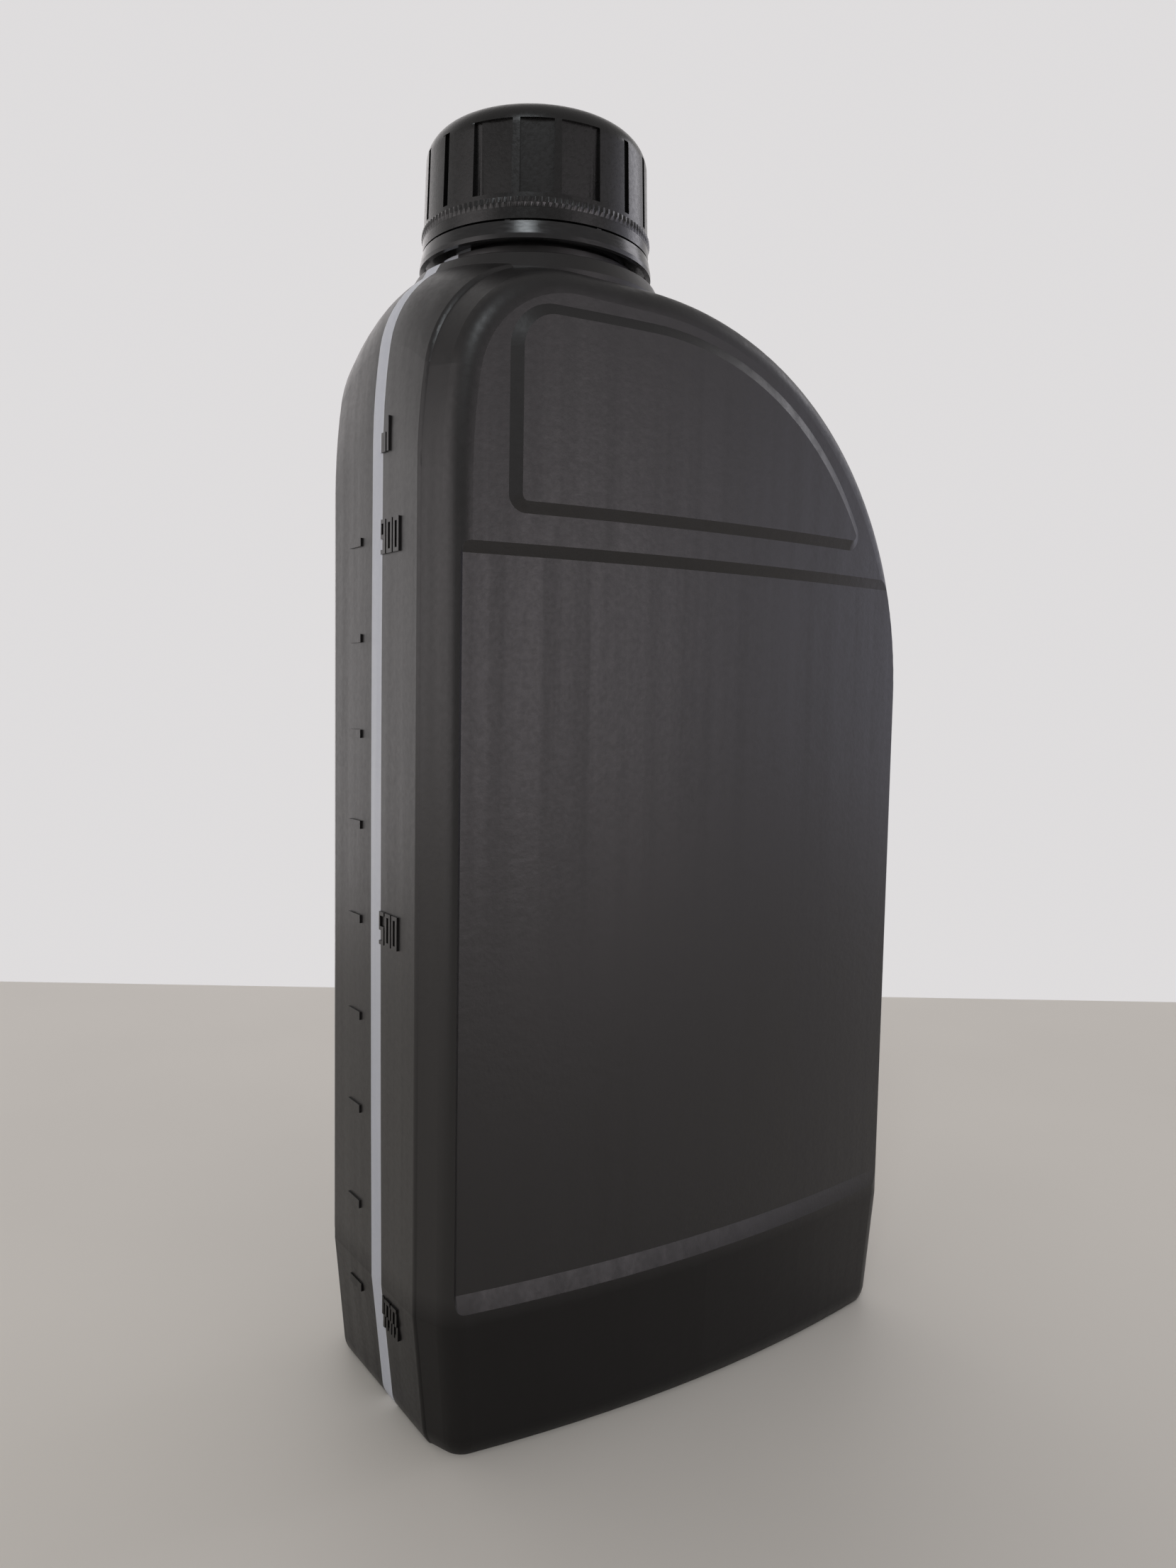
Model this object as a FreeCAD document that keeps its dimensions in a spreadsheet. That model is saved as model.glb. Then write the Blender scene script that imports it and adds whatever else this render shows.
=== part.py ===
"""One-litre motor oil bottle: blow-moulded body, view stripe, ribbed screw cap, tamper band and wad.

The bottle stands on z = 0 with its width along X. The narrow side with the view stripe and the
graduations faces -X, the round nose faces +X, and the two label faces look along -Y and +Y.
"""
import FreeCAD, Part
import math
import os
import re

import Sketcher
from FreeCAD import Vector

# Driving dimensions in millimetres (angles in degrees): name, value, meaning.
SIZES = [
    ("width", 111.5, "Body width across the rim band"),
    ("depth", 60.2, "Body depth between the crowns of the two label faces"),
    ("face_radius", 292, "Radius of the gentle bow of a label face"),
    ("shoulder_height", 205.5, "Height of the rim at the crease beside a facet"),
    ("crown_rise", 3.5, "Rise of the rim from the crease to the parting plane"),
    ("heel_radius", 24, "Shoulder radius above the narrow side, at the crease"),
    ("crown_heel_radius", 20, "Shoulder radius above the narrow side, on the parting plane"),
    ("top_flat", 13.57, "Level stretch of the rim between the small and the large shoulder"),
    ("bow_radius", 120, "Radius that leads the narrow side into its shoulder"),
    ("bow_angle", 8, "Turn taken by that leading radius"),
    ("facet_width", 6.23, "Distance of the crease from the edge of a label face, along Y"),
    ("band_radius", 1.2, "Rounding of the edges of the rim band"),
    ("band_proud", 0.5, "Step from the rim band down to the facet beside it"),
    ("facet_slope", 0.36, "Inset of the facet for each millimetre toward a label face"),
    ("crease_sink", 1.0, "Depth at which a facet starts inside the rim band"),
    ("foot_height", 24, "Height where the foot starts to draw in"),
    ("foot_side_lean", 2.4, "Draw of the foot at each narrow side"),
    ("foot_face_lean", 1.0, "Draw of the foot at each label face"),
    ("foot_radius", 5.6, "Rounding of the foot edge"),
    ("foot_cut", 2.1, "Height that the flat base takes off that rounding"),
    ("foot_trim", 0.5, "Depth that the body is formed to below the base, and trimmed back from"),
    ("ridge_radius", 5.0, "Rounding of the ridge between facet and label face"),
    ("wall", 1.2, "Wall thickness of the body"),
    ("push_up_depth", 3, "Depth of the hollow under the base"),
    ("push_up_margin", 8, "Width of the standing rim around that hollow"),
    ("push_up_slope", 4, "Width of the sloped wall of that hollow"),
    ("push_up_corner", 5, "Corner radius of that hollow"),
    ("label_foot_gap", 2.3, "Distance from the bend of the foot up to the label recess"),
    ("label_foot_slope", 3.3, "Height of the slope at the foot of the label recess"),
    ("label_top_gap", 4.7, "Distance from the label recess up to the badge pad"),
    ("label_top_slope", 2.0, "Height of the slope at the top of the label recess"),
    ("label_left", 3.6, "Distance of the label recess from the narrow side"),
    ("label_side_slope", 1.0, "Width of the slope at the side of the label recess"),
    ("label_depth", 0.9, "Depth of the label recess beside the narrow side"),
    ("label_nose_depth", 0.3, "Depth of the label recess beside the nose"),
    ("label_radius", 320, "Radius of the bow of the recess floor"),
    ("badge_left", 11.7, "Distance of the badge pad from the narrow side"),
    ("badge_height", 34.6, "Height of the badge pad"),
    ("badge_gap", 9.6, "Distance of the badge pad from the rim, along the shoulder"),
    ("badge_corner", 3.2, "Corner radius at the foot of the badge pad"),
    ("badge_top_corner", 8, "Corner radius at the top of the badge pad"),
    ("badge_rise", 0.95, "Height of the badge pad above the label face"),
    ("badge_sink", 0.1, "Depth of the foot of its bevel below the label face"),
    ("badge_bevel", 2.1, "Width of the bevel around the badge pad"),
    ("neck_offset", 32.7, "Distance of the neck axis from the narrow side"),
    ("neck_bore", 15.3, "Radius of the pouring bore"),
    ("neck_wall", 1.6, "Wall of the threaded part of the neck"),
    ("neck_root_wall", 4.0, "Wall of the root of the neck, under the tamper band"),
    ("neck_sink", 10, "Depth of the root of the neck below the shoulder"),
    ("neck_seat_width", 3.2, "Width of the flat seat around the root of the neck"),
    ("neck_seat_rise", 1.5, "Height of the seat above the shoulder"),
    ("neck_seat_side", 3, "Height of the sloping side of the seat, its foot inside the shoulder"),
    ("neck_seat_flare", 1.7, "Widening of the seat down its side"),
    ("neck_seat_edge", 0.6, "Rounding of the edge of the seat"),
    ("neck_bead_overhang", 1.4, "Overhang of the bead that keeps the tamper band on"),
    ("neck_bead_height", 0.6, "Height of the edge of that bead"),
    ("neck_lip", 0.5, "Chamfer at the lip of the neck"),
    ("thread_pitch", 4, "Pitch of the screw thread"),
    ("thread_height", 1.15, "Height of a thread ridge"),
    ("thread_root_width", 1.6, "Width of a thread ridge at its root"),
    ("thread_crest_width", 0.8, "Width of a thread ridge at its crest"),
    ("thread_embed", 0.3, "Depth of the root of a thread ridge in its wall"),
    ("thread_bead_gap", 3.4, "Distance from the bead up to the start of the neck thread"),
    ("thread_lip_gap", 4.8, "Distance from the end of the neck thread up to the lip"),
    ("thread_wad_gap", 5.1, "Distance from the end of the cap thread up to the wad"),
    ("thread_clearance", 0.45, "Gap between the neck thread and the bore of the cap"),
    ("skirt_gap", 3.9, "Distance from the crown of the rim up to the skirt of the cap"),
    ("cap_height", 21.3, "Height of the cap"),
    ("cap_wall", 2.5, "Thickness of the skirt of the cap"),
    ("cap_roof", 1.6, "Thickness of the top of the cap"),
    ("cap_draft", 0.4, "Radius lost from the skirt to the shoulder of the cap"),
    ("cap_edge_radius", 5, "Rounding of the shoulder of the cap"),
    ("cap_dome", 0.4, "Rise of the top of the cap toward its middle"),
    ("knurl_height", 3.6, "Height of the knurled ring at the foot of the cap"),
    ("knurl_proud", 0.15, "Step from the knurled ring to the skirt above it"),
    ("groove_count", 18, "Number of equal steps of the grip grooves around the cap"),
    ("groove_depth", 1.1, "Depth of a grip groove"),
    ("groove_width", 1.3, "Width of a grip groove"),
    ("groove_top_drop", 4.4, "Distance of the groove ends from the top of the cap"),
    ("groove_ledge", 0.8, "Height of the ledge between the knurled ring and the grooves"),
    ("panel_depth", 1.1, "Depth of the three plain panels side by side on the cap"),
    ("panel_rib", 1.4, "Width of the ribs between the plain panels"),
    ("panel_turn", -121.4, "Direction that the middle panel faces"),
    ("wad_thickness", 1.0, "Thickness of the sealing wad"),
    ("wad_clearance", 0.5, "Gap between the wad and the bore of the cap"),
    ("lip_clearance", 0.3, "Gap between the lip of the neck and the wad"),
    ("slit", 0.4, "Gap between the tamper band and the skirt of the cap"),
    ("tamper_height", 3.0, "Height of the tamper band"),
    ("tamper_proud", 0.25, "Step from the skirt of the cap out to the top of the tamper band"),
    ("tamper_flare", 0.45, "Widening of the tamper band toward its foot"),
    ("tamper_wall", 0.9, "Wall thickness of the tamper band"),
    ("tamper_edge", 0.8, "Height of the upright edge at its foot"),
    ("tamper_lip_rise", 1.0, "Height of its inner lip above its foot"),
    ("tamper_lip", 0.8, "Thickness of the inner lip of the tamper band"),
    ("root_clearance", 0.4, "Gap between the root of the neck and the foot of the tamper band"),
    ("bead_clearance", 0.4, "Gap between the bead and the lip of the tamper band"),
    ("lip_play", 0.6, "Gap between the neck and the lip of the tamper band"),
    ("bridge_count", 8, "Number of bridge stubs on the tamper band"),
    ("bridge_width", 0.9, "Width of one bridge stub"),
    ("bridge_setback", 0.2, "Distance of a bridge stub from the inside of the tamper band"),
    ("bridge_height", 0.25, "Height of one bridge stub"),
    ("stripe_width", 4.3, "Width of the view stripe"),
    ("stripe_offset", 2.9, "Distance of the stripe ends from the parting plane"),
    ("stripe_drift_radius", 4800, "Radius of the slight sideways drift of the stripe"),
    ("stripe_overlap", 4.6, "Reach of the stripe past the near wall of the pouring bore"),
    ("mark_proud", 0.35, "Height of the graduation marks above the narrow side"),
    ("mark_cover", 0.2, "Wall left behind the root of a mark"),
    ("tick_length", 5.2, "Length of a graduation line"),
    ("tick_height", 1.5, "Height of a graduation line"),
    ("tick_offset", 4.9, "Distance of a graduation line from the parting plane"),
    ("digit_width", 2.2, "Width of a numeral"),
    ("digit_height", 5.9, "Height of a numeral"),
    ("digit_stroke", 0.7, "Width of the strokes of a numeral"),
    ("digit_gap", 0.5, "Gap between numerals"),
    ("text_offset", 3.4, "Distance of the numerals from the parting plane"),
    ("line_100", 19.2, "Height of the line for 100 ml"),
    ("line_200", 35.6, "Height of the line for 200 ml"),
    ("line_300", 54.0, "Height of the line for 300 ml"),
    ("line_400", 71.7, "Height of the line for 400 ml"),
    ("line_500", 89.9, "Height of the line for 500 ml"),
    ("line_600", 107.4, "Height of the line for 600 ml"),
    ("line_700", 124.1, "Height of the line for 700 ml"),
    ("line_800", 141.4, "Height of the line for 800 ml"),
    ("line_900", 158.6, "Height of the line for 900 ml"),
    ("unit_gap", 17.3, "Distance from the last line up to the unit sign"),
    ("margin", 2, "Overreach of a cutting shape past the surface that it cuts"),
    ("skim", 0.02, "Distance at which a recess fades out above the surface"),
]
GRADUATIONS = range(100, 1000, 100)
NUMBERED = (100, 500, 900)

# Tolerances for picking edges.
NEAR = 1.0
LEVEL = 0.01

ALIASES = {alias for alias, _, _ in SIZES}

doc = FreeCAD.newDocument("motor_oil_bottle")
sheet = doc.addObject("Spreadsheet::Sheet", "Sizes")
for row, (alias, size, meaning) in enumerate(SIZES, start=1):
    sheet.set(f"A{row}", meaning)
    sheet.set(f"B{row}", str(size))
    sheet.setAlias(f"B{row}", alias)
doc.recompute()


def bound(text):
    """The expression with each size written as a reference to the sheet."""
    return re.sub(r"[a-z][a-z_0-9]*", lambda word: ("Sizes." if word[0] in ALIASES else "") + word[0], text)


def value(text):
    """The present value of an expression."""
    return float(sheet.evalExpression(bound(text)))


def origin_plane(body, role):
    return next(item for item in body.Origin.OriginFeatures if item.Role == role)


def sketch(body, name, role, lift, path):
    """A closed sketch on an origin plane, moved along the plane's normal by `lift`.

    `path` lists the corners in order. A corner (u, v) is reached by a straight line, and a corner
    (u, v, radius, turn) by an arc that turns left (+1) or right (-1). All sizes are expressions,
    and each stays bound to the sheet as a named constraint.
    """
    drawing = body.newObject("Sketcher::SketchObject", name)
    drawing.AttachmentSupport = [(origin_plane(body, role), "")]
    drawing.MapMode = "FlatFace"
    drawing.setExpression("AttachmentOffset.Base.z", bound(lift))
    corners = [Vector(value(step[0]), value(step[1]), 0) for step in path]
    edges = []
    for index, step in enumerate(path):
        start, end = corners[index - 1], corners[index]
        if len(step) == 2:
            edges.append((drawing.addGeometry(Part.LineSegment(start, end)), 1, 2))
        else:
            turn = step[3]
            edge = drawing.addGeometry(arc(start, end, value(step[2]), turn))
            edges.append((edge, 1, 2) if turn > 0 else (edge, 2, 1))
    named = []
    for index, step in enumerate(path):
        edge, _, tail = edges[index]
        following, head, _ = edges[(index + 1) % len(path)]
        drawing.addConstraint(Sketcher.Constraint("Coincident", edge, tail, following, head))
        for axis, kind, zero_line in ((0, "DistanceX", -2), (1, "DistanceY", -1)):
            if step[axis] == "0":
                drawing.addConstraint(Sketcher.Constraint("PointOnObject", edge, tail, zero_line))
            else:
                number = drawing.addConstraint(Sketcher.Constraint(kind, edge, tail, corners[index][axis]))
                named.append((number, f"{'uv'[axis]}{index}", step[axis]))
        if len(step) > 2:
            number = drawing.addConstraint(Sketcher.Constraint("Radius", edge, value(step[2])))
            named.append((number, f"radius{index}", step[2]))
    for number, label, text in named:
        drawing.renameConstraint(number, label)
        drawing.setExpression(f"Constraints.{label}", bound(text))
    return drawing


def arc(start, end, radius, turn):
    """The arc of under half a circle from start to end, turning left (+1) or right (-1)."""
    chord = end - start
    across = Vector(-chord.y, chord.x, 0).normalize() * turn
    centre = (start + end) * 0.5 + across * math.sqrt(max(radius ** 2 - chord.Length ** 2 / 4, 0))
    first, last = (start, end) if turn > 0 else (end, start)
    angles = [math.atan2(point.y - centre.y, point.x - centre.x) for point in (first, last)]
    return Part.ArcOfCircle(Part.Circle(centre, Vector(0, 0, 1), radius), *angles)


def new_body(label, x="0"):
    """A PartDesign body whose own Z axis stands at x on the parting plane."""
    body = doc.addObject("PartDesign::Body", label)
    body.Label = label
    if x != "0":
        body.setExpression("Placement.Base.x", bound(x))
    return body


def loft(body, kind, name, sections, ruled=True):
    feature = body.newObject(f"PartDesign::{kind}Loft", name)
    feature.Profile = sections[0]
    feature.Sections = sections[1:]
    feature.Ruled = ruled
    return feature


def mirrored(body, name, feature):
    """The same feature on the other label face."""
    twin = body.newObject("PartDesign::Mirrored", name)
    twin.Originals = [feature]
    twin.MirrorPlane = (origin_plane(body, "XZ_Plane"), [""])
    body.Tip = twin
    return twin


def rounded(body, name, base, radius, wanted):
    """Fillet the edges of `base` for which wanted(edge) holds."""
    doc.recompute()
    numbers = [n for n, edge in enumerate(base.Shape.Edges, start=1) if wanted(edge)]
    fillet = body.newObject("PartDesign::Fillet", name)
    fillet.Base = (base, [f"Edge{n}" for n in numbers])
    fillet.setExpression("Radius", bound(radius))
    body.Tip = fillet
    return fillet


def combined(kind, label, parts):
    """A Part boolean: Fuse takes any number of parts, Cut and Common take two."""
    if kind == "Fuse":
        result = doc.addObject("Part::MultiFuse", label)
        result.Shapes = parts
    else:
        result = doc.addObject(f"Part::{kind}", label)
        result.Base, result.Tool = parts
    result.Label = label
    return result


def drop(radius, across):
    """How far an arc falls below its crown at a distance across."""
    return f"({radius} - sqrt({radius} ^ 2 - ({across}) ^ 2))"


# Places and sizes that follow from the driving dimensions.
LEFT = "(-width / 2)"
RIGHT = "(width / 2)"
FACE_REACH = "(width / 2 + margin)"
FAR = "(depth / 2 + margin)"
BAND_HALF = f"(depth / 2 - {drop('face_radius', 'width / 2')} - facet_width)"
NOSE_RADIUS = "(width - top_flat - bow_radius + (bow_radius - heel_radius) * cos(bow_angle))"
CROWN = "(shoulder_height + crown_rise)"
BADGE_TOP = "(shoulder_height - badge_gap)"
BADGE_FOOT = f"({BADGE_TOP} - badge_height)"
LABEL_FOOT = "(foot_height + label_foot_gap)"
LABEL_TOP = f"({BADGE_FOOT} - label_top_gap)"

NECK_X = f"({LEFT} + neck_offset)"
NECK_ROOT = "(neck_bore + neck_root_wall)"
NECK_CORE = "(neck_bore + neck_wall)"
CAP_BORE = f"({NECK_CORE} + thread_height + thread_clearance)"
CAP_RADIUS = f"({CAP_BORE} + cap_wall)"

SKIRT_FOOT = f"({CROWN} + skirt_gap)"
CAP_TOP = f"({SKIRT_FOOT} + cap_height)"
CAP_ROOF = f"({CAP_TOP} - cap_dome - cap_roof)"
WAD_FOOT = f"({CAP_ROOF} - wad_thickness)"
LIP = f"({WAD_FOOT} - lip_clearance)"
TAMPER_FOOT = f"({SKIRT_FOOT} - slit - tamper_height)"
ROOT_TOP = f"({TAMPER_FOOT} - root_clearance)"
BEAD_FOOT = f"({TAMPER_FOOT} + tamper_lip_rise + tamper_lip + bead_clearance)"
BEAD_TOP = f"({BEAD_FOOT} + neck_bead_height + neck_bead_overhang)"
THREAD_START = f"({BEAD_TOP} + thread_bead_gap)"


def shoulder(height, heel):
    """Centre of the arc over the narrow side, as (x, z), for a rim of that height."""
    return f"({LEFT} + bow_radius - (bow_radius - {heel}) * cos(bow_angle))", f"({height} - {heel})"


def bow_start(height, heel):
    """Height where the narrow side starts to bow toward its shoulder."""
    return f"({height} - {heel} - (bow_radius - {heel}) * sin(bow_angle))"


def foot_arc(corner, lean, inward):
    """The rounding where a side that draws in by `lean` over the foot height meets the base.

    `corner` is where that side would reach z = 0, and `inward` the sign of the way in. Returns the
    place of the arc's low end, foot_trim under the base, and the place and height of its high end.
    """
    angle = f"atan({lean} / foot_height)"
    centre_z = "(foot_radius - foot_cut)"
    centre = f"({corner} + {inward} * (foot_radius / cos({angle}) - tan({angle}) * {centre_z}))"
    base = f"({centre} - {inward} * sqrt(foot_radius ^ 2 - ({centre_z} + foot_trim) ^ 2))"
    side = f"({centre} - {inward} * foot_radius * cos({angle}))"
    return base, side, f"({centre_z} - foot_radius * sin({angle}))"


def front_outline(inset, height, heel, outside):
    """The body seen along Y: foot, narrow side, shoulder, nose, and the straight side under it.

    Each corner moves inward by `inset`, except at the foot. The foot is rounded on the outside
    only, where it reaches below z = 0 and is trimmed later.
    """
    left, right = f"({LEFT} + {inset} + foot_side_lean)", f"({RIGHT} - {inset} - foot_side_lean)"
    foot, last = [(left, "0"), (right, "0")], []
    if outside:
        left_base, left_side, side_z = foot_arc(left, "foot_side_lean", 1)
        right_base, right_side, _ = foot_arc(right, "foot_side_lean", -1)
        foot = [
            (left_base, "-foot_trim", "foot_radius", 1),
            (right_base, "-foot_trim"),
            (right_side, side_z, "foot_radius", 1),
        ]
        last = [(left_side, side_z)]
    start = bow_start(height, heel)
    centre_x, _ = shoulder(height, heel)
    nose = f"({NOSE_RADIUS} + {height} - shoulder_height)"
    return foot + [
        (f"{RIGHT} - {inset}", "foot_height"),
        (f"{RIGHT} - {inset}", f"{height} - {nose}"),
        (f"{RIGHT} - {nose}", f"{height} - {inset}", f"{nose} - {inset}", 1),
        (centre_x, f"{height} - {inset}"),
        (f"{LEFT} + bow_radius - (bow_radius - {inset}) * cos(bow_angle)",
         f"{start} + (bow_radius - {inset}) * sin(bow_angle)", f"{heel} - {inset}", 1),
        (f"{LEFT} + {inset}", start, f"bow_radius - {inset}", 1),
        (f"{LEFT} + {inset}", "foot_height"),
    ] + last


def beyond_face(body, name, skin):
    """Cut away what lies in front of a label face: a turned cut about the axis of the face's bow."""
    face = f"(0 - depth / 2 + {skin})"
    base, base_z, top = f"({face} + foot_face_lean)", "0", f"{CROWN} + margin"
    rounding = []
    if skin == "0":
        base, side, side_z = foot_arc(base, "foot_face_lean", 1)
        base_z = "-foot_trim"
        rounding = [(side, side_z, "foot_radius", -1)]
    profile = sketch(body, f"{name}_profile", "YZ_Plane", "0", [
        ("-depth", "-margin"),
        (base, "-margin"),
        (base, base_z),
        *rounding,
        (face, "foot_height"),
        (face, top),
        ("-depth", top),
    ])
    upright_axis(profile, f"{face} + face_radius - {skin}")
    cut = body.newObject("PartDesign::Groove", name)
    cut.Profile = profile
    cut.ReferenceAxis = (profile, ["Axis0"])
    cut.Angle = 360
    return cut


def upright_axis(drawing, place):
    """A construction line along v, at a place along u given as an expression."""
    foot, top = Vector(value(place), 0, 0), Vector(value(place), value("depth"), 0)
    line = drawing.addGeometry(Part.LineSegment(foot, top), True)
    drawing.addConstraint(Sketcher.Constraint("Vertical", line))
    drawing.addConstraint(Sketcher.Constraint("PointOnObject", line, 1, -1))
    for kind, point, text in (("DistanceX", 1, place), ("DistanceY", 2, "depth")):
        number = drawing.addConstraint(Sketcher.Constraint(kind, line, point, value(text)))
        drawing.renameConstraint(number, f"axis{point}")
        drawing.setExpression(f"Constraints.axis{point}", bound(text))


def label_space(skin, sink):
    """The space in front of the label recess, with its floor `sink` of the way to full depth."""
    ridge = f"({RIGHT} - label_left)"
    slope_end = f"({ridge} - label_side_slope)"
    edge, far_edge, floor = (f"(depth / 2 - {skin} - {drop('face_radius', across)})"
                             for across in (ridge, FACE_REACH, slope_end))
    fade = f"(1 - {sink}) * skim"
    return [
        (f"-{ridge}", "-depth"),
        (FACE_REACH, "-depth"),
        (FACE_REACH, f"-({far_edge} - {sink} * label_nose_depth + {fade})"),
        (f"-{slope_end}", f"-({floor} - {sink} * label_depth + {fade})",
         f"face_radius + {sink} * (label_radius - face_radius)", -1),
        (f"-{ridge}", f"-({edge} + skim)"),
    ]


def stacked(body, name, role, outlines):
    """Sketches one above the other, from pairs of lift and outline."""
    return [sketch(body, f"{name}_{number}", role, lift, outline)
            for number, (lift, outline) in enumerate(outlines)]


def shell_form(name, skin):
    """The solid inside a skin of the body: its faces, facets, foot and label recesses."""
    body = new_body(name)
    slices = []
    near = f"({BAND_HALF} - crease_sink)"
    for y, out in ((f"-{FAR}", FAR), (f"-{near}", near), (near, near), (FAR, FAR)):
        inset = f"(band_proud + {skin} + facet_slope * ({out} - {BAND_HALF}))"
        slices.append((y, front_outline(inset, "shoulder_height", "heel_radius", skin == "0")))
    loft(body, "Additive", f"{name}_block", stacked(body, f"{name}_slice", "XZ_Plane", slices))
    both = mirrored(body, f"{name}_faces", beyond_face(body, f"{name}_face", skin))
    rounded(body, f"{name}_ridges", both, f"ridge_radius - {skin}", is_ridge)
    front = loft(body, "Subtractive", f"{name}_label", stacked(body, f"{name}_recess", "XY_Plane", [
        (LABEL_FOOT, label_space(skin, "0")),
        (f"{LABEL_FOOT} + label_foot_slope", label_space(skin, "1")),
        (f"{LABEL_TOP} - label_top_slope", label_space(skin, "1")),
        (LABEL_TOP, label_space(skin, "0")),
    ]))
    mirrored(body, f"{name}_labels", front)
    return body


def is_ridge(edge):
    """An edge between a facet and a label face, from the base up over the shoulder."""
    span = edge.LastParameter - edge.FirstParameter
    points = [edge.valueAt(edge.FirstParameter + part * span) for part in (0, 0.5, 1)]
    beside_face = min(abs(point.y) for point in points) > value(BAND_HALF) + NEAR
    heights = [point.z for point in points]
    climbs = max(heights) - min(heights) > LEVEL
    return beside_face and (climbs or min(heights) > value("foot_height") + NEAR)


def is_rim(edge):
    """An edge of the rim band that runs around the body beside a facet, above the base."""
    box = edge.BoundBox
    return box.YMax - box.YMin < NEAR and box.ZMax > NEAR


def rim_band(name, skin):
    """The flat band around the rim, crowned over the shoulders toward the neck."""
    body = new_body(name)
    edge, outside = f"({BAND_HALF} - {skin})", skin == "0"
    band = loft(body, "Additive", f"{name}_band", stacked(body, f"{name}_slice", "XZ_Plane", [
        (f"-{edge}", front_outline(skin, "shoulder_height", "heel_radius", outside)),
        ("0", front_outline(skin, CROWN, "crown_heel_radius", outside)),
        (edge, front_outline(skin, "shoulder_height", "heel_radius", outside)),
    ]), ruled=False)
    if outside:
        rounded(body, f"{name}_rim", band, "band_radius", is_rim)
    return body


def badge_outline():
    """The badge pad seen from the front: square on the left, round along the shoulder."""
    left = f"({LEFT} + badge_left)"
    corner = "badge_corner"
    arc_radius = f"({NOSE_RADIUS} - badge_gap)"
    arc_x = f"({RIGHT} - {NOSE_RADIUS})"
    arc_z = f"(shoulder_height - {NOSE_RADIUS})"
    # The corner at the nose touches both the foot and the round side.
    reach = f"({arc_radius} - {corner})"
    rise = f"({BADGE_FOOT} + {corner} - {arc_z})"
    run = f"sqrt({reach} ^ 2 - {rise} ^ 2)"
    return [
        (f"{left} + {corner}", BADGE_FOOT, corner, 1),
        (f"{arc_x} + {run}", BADGE_FOOT),
        (f"{arc_x} + {run} * {arc_radius} / {reach}",
         f"{arc_z} + {rise} * {arc_radius} / {reach}", corner, 1),
        (arc_x, BADGE_TOP, arc_radius, 1),
        (f"{left} + badge_top_corner", BADGE_TOP),
        (left, f"{BADGE_TOP} - badge_top_corner", "badge_top_corner", 1),
        (left, f"{BADGE_FOOT} + {corner}"),
    ]


def badge_pad(name):
    """A raised plate with a bevelled edge that follows the bow of a label face."""
    body = new_body(name)
    prism = body.newObject("PartDesign::Pad", f"{name}_prism")
    prism.Profile = sketch(body, f"{name}_outline", "XZ_Plane", "0", badge_outline())
    prism.setExpression("Length", bound("depth / 2 + badge_rise + margin"))
    plate = beyond_face(body, f"{name}_face", "(0 - badge_rise)")
    doc.recompute()
    rim = [number for number, edge in enumerate(plate.Shape.Edges, start=1)
           if edge.BoundBox.YMax < value("-depth / 4")]
    bevel = body.newObject("PartDesign::Chamfer", f"{name}_bevel")
    bevel.Base = (plate, [f"Edge{number}" for number in rim])
    bevel.ChamferType = "Two distances"
    bevel.setExpression("Size", bound("badge_rise + badge_sink"))
    bevel.setExpression("Size2", bound("badge_bevel"))
    body.Tip = bevel
    return body


def revolved(label, x, profile):
    """A turned body around its own Z axis."""
    body = new_body(label, x)
    turned = body.newObject("PartDesign::Revolution", f"{label}_turned")
    turned.Profile = sketch(body, f"{label}_profile", "XZ_Plane", "0", profile)
    turned.ReferenceAxis = (origin_axis(body, "Z_Axis"), [""])
    turned.Angle = 360
    body.Tip = turned
    return body


def origin_axis(body, role):
    return next(item for item in body.Origin.OriginFeatures if item.Role == role)


def thread(body, name, root, crest, start, end):
    """A right-handed ridge from root to crest radius, its middle rising from start to end."""
    ridge = body.newObject("PartDesign::AdditiveHelix", name)
    half_root = "thread_root_width / 2"
    half_crest = "thread_crest_width / 2"
    ridge.Profile = sketch(body, f"{name}_profile", "XZ_Plane", "0", [
        (root, f"{start} - {half_root}"),
        (crest, f"{start} - {half_crest}"),
        (crest, f"{start} + {half_crest}"),
        (root, f"{start} + {half_root}"),
    ])
    ridge.ReferenceAxis = (origin_axis(body, "Z_Axis"), [""])
    ridge.Mode = "pitch-turns-angle"
    ridge.setExpression("Pitch", bound("thread_pitch"))
    ridge.setExpression("Turns", bound(f"({end} - {start}) / thread_pitch"))
    body.Tip = ridge


def neck():
    """The threaded neck on its round seat, solid until the bore is cut."""
    bead = f"({NECK_CORE} + neck_bead_overhang)"
    seat = f"({NECK_ROOT} + neck_seat_width)"
    seat_top = "(shoulder_height + neck_seat_rise)"
    seat_foot = f"({seat} + neck_seat_flare)"
    lean = "atan(neck_seat_side / neck_seat_flare)"
    edge = f"(neck_seat_edge * tan({lean} / 2))"
    sunk = "shoulder_height - neck_sink"
    body = revolved("neck", NECK_X, [
        ("0", sunk),
        (seat_foot, sunk),
        (seat_foot, f"{seat_top} - neck_seat_side"),
        (f"{seat} + {edge} * cos({lean})", f"{seat_top} - {edge} * sin({lean})"),
        (f"{seat} - {edge}", seat_top, "neck_seat_edge", 1),
        (NECK_ROOT, seat_top),
        (NECK_ROOT, ROOT_TOP),
        (NECK_CORE, ROOT_TOP),
        (NECK_CORE, BEAD_FOOT),
        (bead, BEAD_FOOT),
        (bead, f"{BEAD_FOOT} + neck_bead_height"),
        (NECK_CORE, BEAD_TOP),
        (NECK_CORE, f"{LIP} - neck_lip"),
        (f"{NECK_CORE} - neck_lip", LIP),
        ("0", LIP),
    ])
    thread(body, "neck_thread", f"{NECK_CORE} - thread_embed", f"{NECK_CORE} + thread_height",
           THREAD_START, f"({LIP} - thread_lip_gap)")
    return body


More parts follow.
